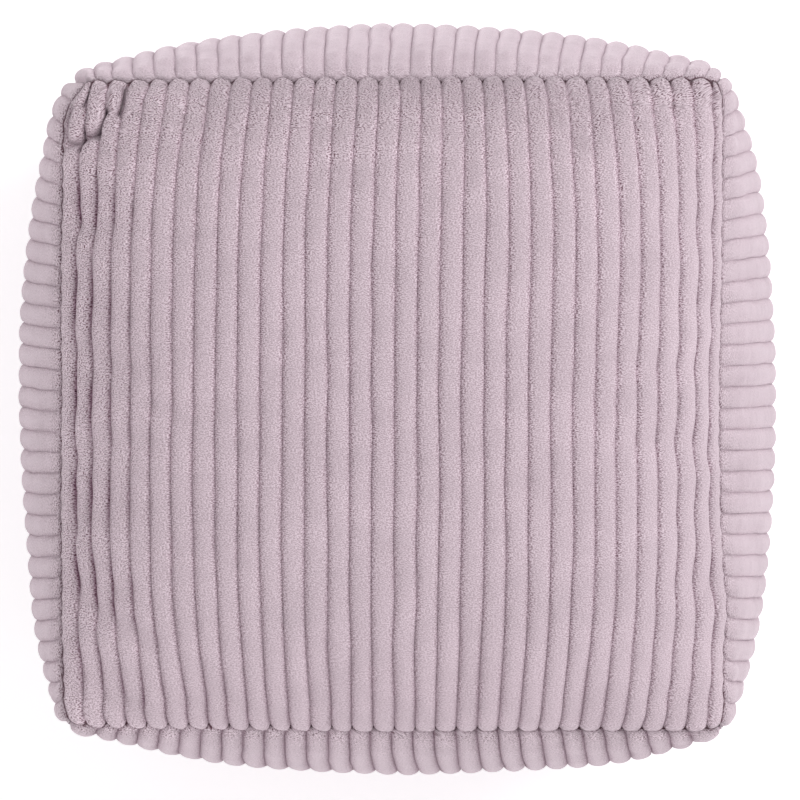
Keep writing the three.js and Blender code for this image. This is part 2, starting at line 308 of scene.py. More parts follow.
def blown_up_cover():
    """How the cloth of each panel puckers when the filling presses on it, on a coarse grid. The
    cloth is a little wider than its seams, which stay where they are."""
    share = np.linspace(-1, 1, COVER_CELLS + 1)
    t, s = np.meshgrid(share, share, indexing="ij")
    panels = cover_panels(0)
    points = np.concatenate([surface(s, t).reshape(-1, 3) for surface in panels.values()])
    faces = [
        grid_faces(COVER_CELLS + 1, COVER_CELLS + 1, k * s.size, name == "base_panel")
        for k, name in enumerate(panels)
    ]
    keys = np.round(points / SAME_POINT).astype(np.int64)
    _, first, merged = np.unique(keys, axis=0, return_index=True, return_inverse=True)
    merged = merged.reshape(-1)
    on_seam = np.zeros(len(first), bool)
    edge = (np.abs(s) == 1) | (np.abs(t) == 1)
    on_seam[merged.reshape(len(panels), -1)[:, edge.reshape(-1)]] = True
    mesh = new_mesh("cover_cloth", points[first], merged[np.concatenate(faces)].tolist())
    cover = put("cover_cloth", mesh)
    seams = cover.vertex_groups.new(name="seams")
    seams.add(np.flatnonzero(on_seam).tolist(), 1.0, "REPLACE")
    cloth_on(cover, seams)
    scene = bpy.context.scene
    for frame_number in range(1, CLOTH_FRAMES + 1):
        scene.frame_set(frame_number)
    blown = cover.evaluated_get(bpy.context.evaluated_depsgraph_get())
    after = np.empty(len(first) * 3)
    blown.data.vertices.foreach_get("co", after)
    moved = after.reshape(-1, 3) - points[first]
    scene.frame_set(1)
    bpy.data.objects.remove(cover)
    bpy.data.meshes.remove(mesh)
    by_panel = moved[merged].reshape(len(panels), COVER_CELLS + 1, COVER_CELLS + 1, 3)
    return {
        name: puckers(grid, s, t, outward(surface(s, t), False))
        for (name, surface), grid in zip(panels.items(), by_panel)
    }


def puckers(moved, s, t, normal):
    """What is left of a panel's movement without its even swelling, which the shapes already have,
    and without most of its sliding along the cloth."""
    held = (1 - s**2) * (1 - t**2)
    powers = range(EVEN_POWERS)
    even = np.stack([held * s**i * t**j for i in powers for j in powers], axis=-1)
    even = even.reshape(s.size, -1)
    flat = moved.reshape(s.size, 3)
    fitted = np.linalg.lstsq(even, flat, rcond=None)[0]
    left = (flat - even @ fitted) * PUCKER_SHARE
    far = np.linalg.norm(left, axis=1, keepdims=True)
    left = (left * np.minimum(1, MOST_MOVED / np.maximum(far, TINY))).reshape(moved.shape)
    depth = np.sum(left * normal, axis=-1, keepdims=True) * normal
    return depth + SLIDE_SHARE * (left - depth)


# The body's unevenness

UNEVEN_SEED = 5
UNEVEN_RISE = 0.6 * MM
UNEVEN_WAVES = 7
UNEVEN_LENGTHS = (130 * MM, 300 * MM)  # of the shortest and the longest wave
FLOOR_HOLD = 60 * MM  # height up to which the floor keeps the body even


def uneven_waves():
    """A few slow waves in space, each with its direction, its length and its push."""
    rng = np.random.default_rng(UNEVEN_SEED)
    ways = rng.normal(size=(UNEVEN_WAVES, 3))
    ways /= np.linalg.norm(ways, axis=1, keepdims=True)
    lengths = rng.uniform(*UNEVEN_LENGTHS, size=UNEVEN_WAVES)
    pushes = rng.normal(size=(UNEVEN_WAVES, 3)) * UNEVEN_RISE / math.sqrt(UNEVEN_WAVES)
    starts = rng.uniform(0, 2 * math.pi, size=UNEVEN_WAVES)
    return ways * 2 * math.pi / lengths[:, None], pushes, starts


def settled(points):
    """Moves points with the body as it has settled: uneven all over, and drawn in at its tucks."""
    ways, pushes, starts = uneven_waves()
    free = ease(points[..., 2:] / FLOOR_HOLD)
    moved = points + free * (np.sin(points @ ways.T + starts) @ pushes)
    for tuck in TUCKS:
        reach = np.array((tuck["reach"], tuck["reach"], tuck["drop"])) * MM
        away = np.linalg.norm((points - np.array(tuck["at"]) * MM) / reach, axis=-1, keepdims=True)
        moved = moved + np.exp(-(away**2)) * np.array(tuck["by"]) * MM
    return moved


def creased(points):
    """How deep the creases press the top in at each of its points, and the painted shade that they leave.
    """
    flat = points[..., :2]
    deepest = np.zeros(flat.shape[:-1])
    light = np.ones(flat.shape[:-1])
    for crease in CREASES:
        through = np.array(crease["through"]) * MM
        near = np.full(flat.shape[:-1], np.inf)
        for a, b in zip(through[:-1], through[1:]):
            share = np.clip((flat - a) @ (b - a) / ((b - a) @ (b - a)), 0, 1)
            near = np.minimum(near, np.linalg.norm(flat - a - share[..., None] * (b - a), axis=-1))
        trough = np.clip(1 - (near / (crease["half_width"] * MM)) ** 2, 0, 1) ** 2
        deepest = np.maximum(deepest, crease["depth"] * MM * trough)
        light *= 1 - crease["shade"] * trough
    return deepest, light


# How ribs stray across the cloth, in ribs

STRAY_CELLS = 26  # of the grid of strays that each panel draws at random
STRAY_ALONG = 0.5  # how much slower ribs stray along their length than from one to the next
EDGE_WAVE = 0.055  # of the ribs beside the left and right seams of the top
EDGE_WAVE_LENGTH = 47 * MM
EDGE_WAVE_STARTS = (0.4, 2.0)  # phases of the left and the right waves at the middle, in radians
RIGHT_WAVE_RATE = 1.4  # how much closer together the right waves are
RIGHT_WAVE_SIZE = 1.5  # how much larger they are
EASE = 0.12  # of the ribs on the left and right shoulders of the top, towards its middle
EASED = 5  # the rib that is eased most, counted from the seam
SLIP = 0.14  # of the ribs above the corner crease, towards the right
SLIP_AT = np.array((-148, 139)) * MM  # a point of that crease
SLIP_ALONG = math.radians(33)  # its direction, from the X axis
SLIP_WIDTH = 6 * MM  # over which the slip starts above the crease
SLIP_FULL = 2  # ribs from the left seam that slip in full
SLIP_REACH = 5.0  # ribs over which it runs out beyond them


def strayed(places, kind, s, t, seed):
    """How far each place across a panel strays at shares s and t."""
    grid = np.random.default_rng(seed).normal(size=(STRAY_CELLS, STRAY_CELLS, 1)) * KINDS[kind]["stray"]
    inside = ease(np.minimum(places, KINDS[kind]["ribs"] - places))
    return smooth_read(grid, s, t * STRAY_ALONG)[..., 0] * inside


def edge_waves(y):
    """The waves along the ribs beside the left seam and along those beside the right one."""
    turn = 2 * math.pi * y / EDGE_WAVE_LENGTH
    left_start, right_start = EDGE_WAVE_STARTS
    return np.sin(turn + left_start), np.sin(RIGHT_WAVE_RATE * turn + right_start)


def top_strayed(places, points):
    """How far the ribs of the top wave beside its left and right seams, slip at the corner crease and
    ease towards its middle on the shoulders."""
    x, y = points[..., 0], points[..., 1]
    from_left = places + 0 * x
    from_right = TOP_RIBS - places + 0 * x
    left, right = edge_waves(y)
    left = left * from_left * np.exp(1 - from_left)
    right = right * from_right * np.exp(1 - from_right) * RIGHT_WAVE_SIZE
    eased = [end / EASED * np.exp(1 - end / EASED) for end in (from_left, from_right)]
    above = (y - SLIP_AT[1]) * math.cos(SLIP_ALONG) - (x - SLIP_AT[0]) * math.sin(SLIP_ALONG)
    slipped = ease(above / SLIP_WIDTH + 0.5) * ease(from_left)
    slipped = slipped * (1 - ease((from_left - SLIP_FULL) / SLIP_REACH))
    return EDGE_WAVE * (left + right) + SLIP * slipped + EASE * (eased[0] - eased[1])


# The fine panels

# Places of the columns over one rib, from valley to valley, close together in the valleys
RIB_PHASES = [0, 0.035, 0.08, 0.15, 0.25, 0.375, 0.5, 0.625, 0.75, 0.85, 0.92, 0.965]
CORNER_CLEAR = 0.02  # ribs from a corner seam within which a panel has no column
RIM_ROWS = 12  # rows at each end of a panel that lie close together
RIM_STEP = 0.65 * MM  # from one of these to the next
SAMPLE_COUNT = 801  # of the places at which a panel's lengths are measured
NORMAL_PASSES = 3  # of evening out the directions in which ribs are raised

# Widths of the first and the last rib of the top, in ribs, by share from the front seam, -1, to the
# back one, 1. Its seams cut these ribs.
END_RIBS = {
    "t": (-1, -0.9, 0, 0.75, 0.9, 1),
    "first": (0.85, 1.12, 1.15, 1.12, 1.08, 0.92),
    "last": (0.6, 0.74, 0.85, 0.54, 0.4, 0.3),
}

# Each kind of panel: its rows of points, its ribs, how far they stray, and what its rib tree is
# given. The pile of the top is pressed flatter. A pocket is the end of a valley at a seam, darkened
# with painted shade. Its length is counted in the length of the rounded rib ends beside it.
KINDS = {
    "top": {"rows": 234, "ribs": TOP_RIBS, "stray": 0.023, "section": {
        "Squareness": 2.7, "Valley sharpness": 0.8, "Lean": 1.08, "Unevenness": 0.3,
        "Clump height": 0.4 * MM, "Pocket length": 2.0}},
    "side": {"rows": 214, "ribs": SIDE_RIBS, "stray": 0.022, "section": {
        "Squareness": 2.1, "Valley sharpness": 0.72, "Lean": 1.0, "Unevenness": 0.6,
        "Clump height": 0.8 * MM, "Pocket length": 0.8}},
    "base": {"rows": 110, "ribs": BASE_RIBS, "stray": 0.014, "section": {
        "Squareness": 2.4, "Valley sharpness": 0.66, "Lean": 1.0, "Unevenness": 0.3,
        "Clump height": 0.4 * MM, "Pocket length": 0.5}},
}


def rib_places(ribs, start):
    """Places of the columns across a panel, counted in ribs from its first edge."""
    places = [k + start + phase for k in range(-1, ribs) for phase in RIB_PHASES]
    inside = [place for place in places if CORNER_CLEAR < place < ribs - CORNER_CLEAR]
    return np.array([0, *inside, ribs])


def row_runs(length, rows):
    """Places of the rows along a panel: close together where the ribs round off at its ends."""
    rim = np.arange(RIM_ROWS) * RIM_STEP
    middle = np.linspace(rim[-1] + RIM_STEP, length - rim[-1] - RIM_STEP, rows - 2 * RIM_ROWS)
    return np.concatenate([rim, middle, length - rim[::-1]])


def crowded(count):
    """Shares from -1 to 1 that crowd towards both ends."""
    return np.sin(np.linspace(-math.pi / 2, math.pi / 2, count))


SAMPLES = crowded(SAMPLE_COUNT)


def end_widths(kind, t):
    """Widths of a panel's first and last rib at t, in ribs."""
    if kind != "top":
        return np.ones_like(t), np.ones_like(t)
    return [np.interp(t, END_RIBS["t"], END_RIBS[end]) for end in ("first", "last")]


def shares_across(surface, t, places, kind):
    """Share across a panel of each place, with ribs of one width in each row but for its end ribs."""
    run = lengths_along(surface(SAMPLES[None, :], t[:, None] * np.ones((1, SAMPLES.size))))
    ribs = KINDS[kind]["ribs"]
    first, last = (width[:, None] for width in end_widths(kind, t))
    before = np.minimum(places, 1) * first + np.clip(places - 1, 0, ribs - 2)
    before = before + np.maximum(places - ribs + 1, 0) * last
    wanted = before / (first + ribs - 2 + last) * run[:, -1:]
    return np.stack([np.interp(w, r, SAMPLES) for w, r in zip(wanted, run)])


def fine_panel(name, surface, moved, kind, start, seed):
    """The smooth surface of a panel under its ribs, as a grid of points, the places of its columns
    and the painted shade that its creases leave."""
    ribs = KINDS[kind]["ribs"]
    places = rib_places(ribs, start)
    run = lengths_along(surface(np.zeros(SAMPLES.size), SAMPLES))
    t_rows = np.interp(row_runs(run[-1], KINDS[kind]["rows"]), run, SAMPLES)
    t = t_rows[:, None] * np.ones_like(places)
    even = places + 0 * t
    s = shares_across(surface, t_rows, even, kind)
    stray = strayed(places, kind, s, t, seed)
    if kind == "top":
        stray = stray + top_strayed(places, surface(s, t))
    s = shares_across(surface, t_rows, even + stray, kind)
    points = surface(s, t) + smooth_read(moved, s, t)
    light = np.ones_like(s)
    if kind == "top":
        to_seam = np.minimum(distance_from_ends(points, 0), distance_from_ends(points, 1))
        inside = ease(to_seam / CREASE_END)
        depth, light = creased(points)
        points = points - (inside * depth)[..., None] * outward(points, False)
    return settled(points + woven_seams(kind, name, points, s, t)), places, light


SLIVER = 0.55  # a rib cut narrower than this by a corner seam is one with the next rib
LAST_RIB = 1.001  # width of the last whole rib, whose end at the seam so stays a part of it


def rib_counted(place, ribs, start):
    """Place counted in ribs from a side's first valley. A sliver at a corner joins the next rib."""
    counted = place - start
    if 0 < start < SLIVER:
        counted = np.where(place < start + 1, place / (start + 1), counted)
    tail = (ribs - start) % 1
    if 0 < tail < SLIVER:
        last = ribs - tail - 1
        joined = round(last - start) + (place - last) / (tail + LAST_RIB)
        counted = np.where(place > last, joined, counted)
    return counted


def rib_section(place, kind):
    """Height of a rib at a place across the panel, as a share of its rise."""
    section = KINDS[kind]["section"]
    off_centre = np.abs(2 * (place % 1) ** section["Lean"] - 1)
    return (1 - off_centre ** section["Squareness"]) ** section["Valley sharpness"]


def place_on_edge(share, t, kind):
    """Place across the top or the base, in ribs, at a share along its edge at t."""
    ribs = KINDS[kind]["ribs"]
    first, last = end_widths(kind, np.array(float(t)))
    before = (share + 1) / 2 * (first + ribs - 2 + last)
    inner = before - first + 1
    outer = ribs - 1 + (before - first - ribs + 2) / last
    return np.where(before < first, before / first, np.where(inner < ribs - 1, inner, outer))


WEAVE_ACROSS = 1.4 * MM  # where ribs of the top meet ribs of a side end on, and lock like fingers
WEAVE_ALONG = 1.2 * MM  # where a rib of the top runs along the ends of a side's ribs
WEAVE_REACH = 10 * MM  # distance from the seam over which that runs out
WEAVE_POWER = 14  # by which it runs out at the corners
MEAN_SECTION = 0.75  # height of a rib of the top that runs along a seam, as a share of its rise
DRAWN_REACH = 24 * MM  # distance from a top seam over which the panels are drawn in with it
DRAWN_POWER = 4  # by which that runs out at the corners


def weave(side, share, cap, distance):
    """How far a side's seam, and what lies at a distance from it, is pushed out at a share along the
    side, by the ribs of the top or base behind it, and in by the side's own. The middle of a top
    seam is drawn in as well."""
    own = rib_section(rib_counted((share + 1) / 2 * SIDE_RIBS, SIDE_RIBS, side["start"]), "side")
    fade = 1 - np.abs(share) ** WEAVE_POWER
    if side["quarter_turns"] % 2 == 0:
        push = WEAVE_ALONG * (MEAN_SECTION - own) * fade
    else:
        t = 2 - side["quarter_turns"]  # 1 at the back and -1 at the front
        push = WEAVE_ACROSS * (rib_section(place_on_edge(-t * share, t, cap), cap) - own) * fade
    near = np.clip(1 - distance / WEAVE_REACH, 0, 1) ** 2
    if cap == "base":
        return push * near
    drawn = side["drawn"] * MM * (1 - share**DRAWN_POWER) * (1 - ease(distance / DRAWN_REACH))
    return push * near - drawn


def side_out(side):
    """The level direction in which a side faces."""
    angle = side["quarter_turns"] * math.pi / 2
    return np.array([math.cos(angle), math.sin(angle), 0])


def woven_seams(kind, name, points, s, t):
    """How the points of a panel move with the seams they are near."""
    low, high = distances_from_ends(points, 0)
    left, right = distances_from_ends(points, 1)
    if kind == "side":
        side = next(row for row in SIDES if row["name"] == name)
        seams = [(side, s, "base", low), (side, s, "top", high)]
    else:
        seams = zip(SIDES, (t, -s, -t, s), [kind] * len(SIDES), (right, high, left, low))
    total = np.zeros_like(points)
    for side, share, cap, distance in seams:
        total += weave(side, share, cap, distance)[..., None] * side_out(side)
    return total


def outward(points, flipped):
    """Unit normals of a grid of points."""
    normal = np.cross(np.gradient(points, axis=1), np.gradient(points, axis=0))
    normal /= np.maximum(np.linalg.norm(normal, axis=-1, keepdims=True), TINY)
    return -normal if flipped else normal


def softened(field, times):
    """A grid of vectors of length one, evened out between neighbours."""
    for _ in range(times):
        padded = np.pad(field, ((1, 1), (1, 1), (0, 0)), mode="edge")
        along = padded[:-2, 1:-1] + padded[2:, 1:-1]
        across = padded[1:-1, :-2] + padded[1:-1, 2:]
        field = field * 2 + along + across
        field = field / np.linalg.norm(field, axis=-1, keepdims=True)
    return field


def distances_from_ends(points, axis):
    """Distance of each point from the first and from the last one on its line along an axis."""
    run = lengths_along(np.moveaxis(points, axis, -2))
    return [np.moveaxis(distance, -1, axis) for distance in (run, run[..., -1:] - run)]


def distance_from_ends(points, axis):
    """Distance of each point from the nearer end of its line along an axis."""
    return np.minimum(*distances_from_ends(points, axis))


BASE_TIP = 4.5 * MM  # length of the rounded rib ends at the base seams and the corner seams


def end_distance(name, kind, points):
    """How far each point is from the end of its rib, counted in the length of the rounded ends."""
    low, high = distances_from_ends(points, 0)
    if kind == "base":
        return np.minimum(low, high) / BASE_TIP
    tips = {side["name"]: side["tip"] * MM for side in SIDES}
    if kind == "top":
        return np.minimum(low / tips["side_south"], high / tips["side_north"])
    return np.minimum(low / BASE_TIP, high / tips[name])


def tip_distance(kind, points, end):
    """The same, but ribs are lower beside a corner seam as well."""
    return np.minimum(end, distance_from_ends(points, 1) / BASE_TIP) if kind == "side" else end


# How the pile stands, and the painted light and shade on it. The top is painted darker where it faces
# the back, and its pile stands open there and towards the left.

TOP_SHADE = 0.85  # painted light on the top, before what its outward normal adds
TOP_PAINTED_LIGHT = np.array((0, -0.25, 0.255))  # painted light and shade by the outward normal of the top

# Painted light on the top, and painted shade in its valleys, by the x of its outward normal, and
# the latter by its y
BY_X = {
    "x": (-0.6, -0.3, 0, 0.25, 0.6),
    "light": (0.09, 0.042, 0, -0.01, 0.03),
    "valley": (0.38, 0.04, -0.02, -0.12, 0.08),
}
BY_Y = {"y": (-0.6, 0, 0.3), "valley": (0.26, 0, -0.3)}
HOLLOWS = 0.25  # painted shade in the valleys where the ribs beside the edges wave apart
HOLLOW_FADES = (4, 1.5)  # ribs over which that fades from the left and from the right seam
WAVE_SLOPE = 2.5 * MM  # how much further along the waves are from one rib to the next
TOP_OPEN = 0.64  # how open the pile of the top stands
TOP_OPENS = np.array((-0.25, 0.25, 0))  # how much more by the outward normal of the top
TOP_CLOSES = 0.25  # most that this closes it
EDGE_OPEN = 0.4  # how much more it stands open beside the left and the back seam
LEFT_EDGE = (0.75, 0.35)  # weight of the left seam at its middle, and what it gains to the back
BACK_EDGE = (0.9, -0.3)  # weight of the back seam at its middle, and what it gains to the right
LEFT_REACH = 20 * MM  # distance from the left seam over which that fades
BACK_REACH = 24 * MM  # the same from the back seam
EDGE_LIGHT = 0.07  # painted light there
FLANK_OPEN = 0.32  # how much more it stands open on the left flank of each rib
FLANK_WEIGHT = (0.6, 1.2)  # weight of that in the middle of the top, and what it gains to the right
FLANK = 0.4  # width of that flank, in ribs
SEAM_OPEN = 0.6  # how much more it stands open at the ends of a side's ribs
END_OPEN = 0.3  # the same for the ribs of the top
SEAM_OPEN_REACH = 7 * MM  # distance over which that fades
SEAM_VALLEY = 0.1  # painted shade in the valleys of a side beside its seams
SEAM_VALLEY_REACH = 10 * MM
TINT = 0.6  # how much deeper the colour of valleys is where painted shade darkens them
DEEP_TINT = 1.6  # the same, by the square of their darkness
TOP_DEPTH = 0.1  # least painted shade that counts for the colour of the valleys in the top
CREASE_TINT = 0.5  # how much deeper the colour is in the painted shade of a crease
SEAM_GROOVE = 1.5 * MM  # half width of the painted shade in the groove between the top and a side
SEAM_LIGHT = 0.12  # painted light beside a seam that crosses its ribs
SEAM_LIGHT_REACH = 5 * MM
BASE_PILE = {"shade": 1, "valley": 0, "open": 0.2}


def tinted(depth):
    """How much deeper the colour is where painted shade makes a valley darker than the others by a share.
    """
    return 1 + TINT * depth + DEEP_TINT * np.maximum(depth, 0) ** 2


def top_pile(points, normal, along, place, low):
    """The pile of the top, as pile gives it."""
    x, y = normal[..., 0], normal[..., 1]
    waves = edge_waves(points[..., 1] + place * WAVE_SLOPE)
    to_seams = (place, TOP_RIBS - place)
    left, right = (wave * np.exp(-ribs / fade) for wave, ribs, fade in zip(waves, to_seams, HOLLOW_FADES))
    dark = np.interp(x, BY_X["x"], BY_X["valley"]) + np.interp(y, BY_Y["y"], BY_Y["valley"])
    dark = dark + HOLLOWS * (left + right)
    shade = TOP_SHADE + normal @ TOP_PAINTED_LIGHT + np.interp(x, BY_X["x"], BY_X["light"])
    shade = shade * (1 - low * dark)
    to_right, to_back = points[..., 0] / CORNER_X, points[..., 1] / CORNER_Y
    from_left = np.maximum(points[..., 0] + CORNER_X, 0) / LEFT_REACH
    from_back = np.maximum(CORNER_Y - points[..., 1], 0) / BACK_REACH
    edges = np.exp(-from_left) * (LEFT_EDGE[0] + LEFT_EDGE[1] * to_back)
    edges = edges + np.exp(-from_back) * (BACK_EDGE[0] + BACK_EDGE[1] * to_right)
    flank = np.clip(1 - place % 1 / FLANK, 0, 1)
    flank = flank * np.clip(FLANK_WEIGHT[0] + FLANK_WEIGHT[1] * x, 0, 1)
    openness = TOP_OPEN + np.maximum(normal @ TOP_OPENS, -TOP_CLOSES)
    openness = openness + EDGE_OPEN * edges + FLANK_OPEN * flank
    openness = openness + END_OPEN * np.exp(-along / SEAM_OPEN_REACH)
    return shade * (1 + EDGE_LIGHT * edges), openness, tinted(low * np.maximum(dark, TOP_DEPTH))


def pile(name, points, normal, along, place, low):
    """Painted light and shade of the pile at each point, how open it stands, and how deep its colour is
    in the painted shade. Place is counted in ribs, and low is 1 in the valleys and 0 on the ribs."""
    if name == "top_panel":
        return top_pile(points, normal, along, place, low)
    side = next((row for row in SIDES if row["name"] == name), BASE_PILE)
    near_seam = SEAM_OPEN * np.exp(-along / SEAM_OPEN_REACH)
    dark = side["valley"] + SEAM_VALLEY * np.exp(-along / SEAM_VALLEY_REACH)
    return side["shade"] * (1 - low * dark), side["open"] + near_seam, tinted(low * dark)


def groove_shade(name, points, along):
    """Painted shade at each point that lies in the groove of a seam between the top and a side. The
    grooves of the front and back seams are drawn on their sides only."""
    if name == "base_panel":
        return 0 * along
    edges = {side["name"]: side["groove"] for side in SIDES}
    if name != "top_panel":
        return edges[name] * np.exp(-((along / SEAM_GROOVE) ** 2))
    ends = zip(("side_west", "side_east"), distances_from_ends(points, 1))
    return sum(edges[side] * np.exp(-((distance / SEAM_GROOVE) ** 2)) for side, distance in ends)


def panel_fields(name, kind, points, places, light, start):
    """What the ribs and the material read at each point of a panel."""
    along = distance_from_ends(points, 0)
    normal = softened(outward(points, kind == "base"), NORMAL_PASSES)
    counted = rib_counted(places, KINDS[kind]["ribs"], start)
    low = 1 - rib_section(counted, kind)
    shade, openness, tint = pile(name, points, normal, along, counted, low)
    shade = shade * light * (1 - groove_shade(name, points, along))
    end = end_distance(name, kind, points)
    return {
        "rib_place": counted + 0 * along,
        "tip_distance": tip_distance(kind, points, end),
        "end_distance": end,
        "painted_light_and_shade": shade * (1 + SEAM_LIGHT * np.exp(-along / SEAM_LIGHT_REACH)),
        "pile_open": openness,
        "shade_tint": tint * (1 + CREASE_TINT * (1 - light)),
        "outward": normal,
    }


def wall_faces(rows, columns, hubs, flipped):
    """Triangles that join the rim of a grid of points to one hub behind it, or to a low and a high
    one. The hubs follow the grid's points."""
    index = np.arange(rows * columns).reshape(rows, columns)
    low, high = rows * columns, rows * columns + hubs - 1
    rims = [edge.tolist() for edge in (index[0, :], index[:, -1], index[-1, ::-1], index[::-1, 0])]
    if hubs == 1:
        strips = [(low, rims[0][:-1] + rims[1][:-1] + rims[2][:-1] + rims[3])]
    else:
        strips = [(low, rims[0]), (low, rims[1] + [high]), (high, rims[2]), (low, [high] + rims[3])]
    walls = [[hub, rim[k + 1], rim[k]] for hub, rim in strips for k in range(len(rim) - 1)]
    return [wall[::-1] for wall in walls] if flipped else walls


def panel_mesh(name, kind, points, fields, inner):
    """A closed mesh: the fine surface, and flat walls that join its rim to the inner points."""
    flipped = kind == "base"
    rows, columns = points.shape[:2]
    walls = wall_faces(rows, columns, len(inner), flipped)
    faces = grid_faces(rows, columns, 0, flipped).tolist() + walls
    mesh = new_mesh(name, np.concatenate([points.reshape(-1, 3), inner]), faces)
    for key, value in fields.items():
        layer, slot = ("FLOAT_VECTOR", "vector") if value.ndim == 3 else ("FLOAT", "value")
        flat = value.reshape(rows * columns, -1)
        filled = np.concatenate([flat, np.zeros((len(inner), flat.shape[1]))])
        mesh.attributes.new(key, layer, "POINT").data.foreach_set(slot, filled.reshape(-1))
    runs = [distances_from_ends(points, axis)[0] for axis in (1, 0)]
    uv = np.concatenate([np.stack(runs, axis=-1).reshape(-1, 2), np.zeros((len(inner), 2))])
    loops = np.empty(len(mesh.loops), int)
    mesh.loops.foreach_get("vertex_index", loops)
    mesh.uv_layers.new(name="UVMap").data.foreach_set("uv", uv[loops].reshape(-1))
    smooth = np.ones(len(mesh.polygons), bool)
    smooth[-len(walls):] = False
    mesh.polygons.foreach_set("use_smooth", smooth)
    mesh.update()
    return mesh


def add(tree, kind, inputs=(), **settings):
    """Adds a node with its settings and links. Its inputs are a list in the order of its sockets, or
    name them. Each is a value, or a node or an output that is linked."""
    node = tree.nodes.new(kind)
    for name, value in settings.items():
        setattr(node, name, value)
    for key, value in inputs.items() if isinstance(inputs, dict) else enumerate(inputs):
        if isinstance(value, bpy.types.Node):
            value = value.outputs[0]
        if isinstance(value, bpy.types.NodeSocket):
            tree.links.new(value, node.inputs[key])
        else:
            node.inputs[key].default_value = value
    return node


# The tree that raises the ribs

# Inputs that are the same for all panels. The tips of the ribs narrow like those of fingers.
RIB_VALUES = {
    "Rib rise": RIB_RISE,
    "Tip roundness": 2.4,
    "Tip drop": 0.9,  # share of a rib's height that is gone at its very end
    "Valley change": 0.9,
    "Valley change size": 20 * MM,
    "Unevenness size": 45 * MM,
    "Clump size": 5 * MM,
    "Pressed valley": PRESSED_VALLEY,
}

# Inputs that vary from place to place, with the input that says over what size
RIB_CHANGES = {
    "Valley change": "Valley change size",
    "Unevenness": "Unevenness size",
    "Clump height": "Clump size",
}

# How a rib stands at a point. Each row names a value, a Math operation and what goes into it.
RIB_FORMULA = [
    ("phase", "FRACT", "rib_place"),
    ("leaning", "POWER", "phase", "Lean"),
    ("centred", "MULTIPLY_ADD", "leaning", 2.0, -1.0),
    ("off centre", "ABSOLUTE", "centred"),
    ("flatness", "POWER", "off centre", "Squareness"),
    ("arch", "SUBTRACT", 1.0, "flatness"),
    ("near tip", "MINIMUM", "tip_distance", 1.0),
    ("to tip", "SUBTRACT", 1.0, "near tip"),
    ("narrowing", "POWER", "to tip", "Tip roundness"),
    ("drop", "MULTIPLY", "narrowing", "Tip drop"),
    ("lowered", "SUBTRACT", "arch", "drop"),
    ("sharpness", "ADD", "Valley sharpness", "Valley change"),
    ("full arch", "MAXIMUM", "arch", 0.0),
    ("tip arch", "MAXIMUM", "lowered", 0.0),
    ("full section", "POWER", "full arch", "sharpness"),
    ("section", "POWER", "tip arch", "sharpness"),
    ("unevenly", "ADD", 1.0, "Unevenness"),
    ("uneven rise", "MULTIPLY", "Rib rise", "unevenly"),
    ("clumped rise", "ADD", "uneven rise", "Clump height"),
    ("rise", "MULTIPLY", "section", "clumped rise"),
    ("valley", "LESS_THAN", "section", 0.5),
    ("floor", "MULTIPLY", "valley", "Pressed valley"),
    ("both sections", "ADD", "section", "full section"),
    ("rib_height", "MULTIPLY", "both sections", 0.5),
    ("hollow", "SUBTRACT", 1.0, "rib_height"),
    ("depth", "DIVIDE", "end_distance", "Pocket length"),
    ("shallow", "MINIMUM", "depth", 1.0),
    ("closeness", "SUBTRACT", 1.0, "shallow"),
    ("pocket", "MULTIPLY", "hollow", "closeness"),
]


def rib_tree():
    """Geometry Nodes that raise the ribs of a panel out of its smooth surface, and keep how high they
    are and how far they close to a pocket at their ends, for the painted shade of the material."""
    tree = bpy.data.node_groups.new("corduroy ribs", "GeometryNodeTree")
    tree.is_modifier = True
    face = tree.interface
    face.new_socket("Geometry", in_out="OUTPUT", socket_type="NodeSocketGeometry")
    others = {"Geometry": "Geometry", "Seed": "Int", "Cloth": "Material"}
    for name in ("Geometry", *RIB_VALUES, *KINDS["top"]["section"], "Seed", "Cloth"):
        face.new_socket(name, in_out="INPUT", socket_type="NodeSocket" + others.get(name, "Float"))
    given = add(tree, "NodeGroupInput").outputs
    values = {socket.name: socket for socket in given}
    for name in ("rib_place", "tip_distance", "end_distance"):
        values[name] = add(tree, "GeometryNodeInputNamedAttribute", {"Name": name}, data_type="FLOAT")
    for name, size in RIB_CHANGES.items():
        scale = add(tree, "ShaderNodeMath", [1.0, given[size]], operation="DIVIDE")
        noise = add(tree, "ShaderNodeTexNoise", {"Scale": scale, "Detail": 1.0, "W": given["Seed"]},
                    noise_dimensions="4D")
        change = add(tree, "ShaderNodeMath", [noise, 0.5], operation="SUBTRACT")
        values[name] = add(tree, "ShaderNodeMath", [change, given[name]], operation="MULTIPLY")
    for name, operation, *inputs in RIB_FORMULA:
        sockets = [values.get(key, key) for key in inputs]
        values[name] = add(tree, "ShaderNodeMath", sockets, operation=operation)
    normal = add(tree, "GeometryNodeInputNamedAttribute", {"Name": "outward"}, data_type="FLOAT_VECTOR")
    shift = add(tree, "ShaderNodeVectorMath", {0: normal, "Scale": values["rise"]}, operation="SCALE")
    shape = add(tree, "GeometryNodeSetPosition", {"Geometry": given["Geometry"], "Offset": shift})
    place = add(tree, "ShaderNodeSeparateXYZ", [add(tree, "GeometryNodeInputPosition")]).outputs
    height = add(tree, "ShaderNodeMath", [place["Z"], values["floor"]], operation="MAXIMUM")
    pressed = add(tree, "ShaderNodeCombineXYZ", [place["X"], place["Y"], height])
    shape = add(tree, "GeometryNodeSetPosition", {"Geometry": shape, "Position": pressed})
    for name in ("rib_height", "pocket"):
        shape = add(tree, "GeometryNodeStoreNamedAttribute",
                    {"Geometry": shape, "Name": name, "Value": values[name]},
                    data_type="FLOAT", domain="POINT")
    shape = add(tree, "GeometryNodeRealizeInstances", {"Geometry": shape})
    shape = add(tree, "GeometryNodeSetMaterial", {"Geometry": shape, "Material": given["Cloth"]})
    add(tree, "NodeGroupOutput", {"Geometry": shape})
    return tree


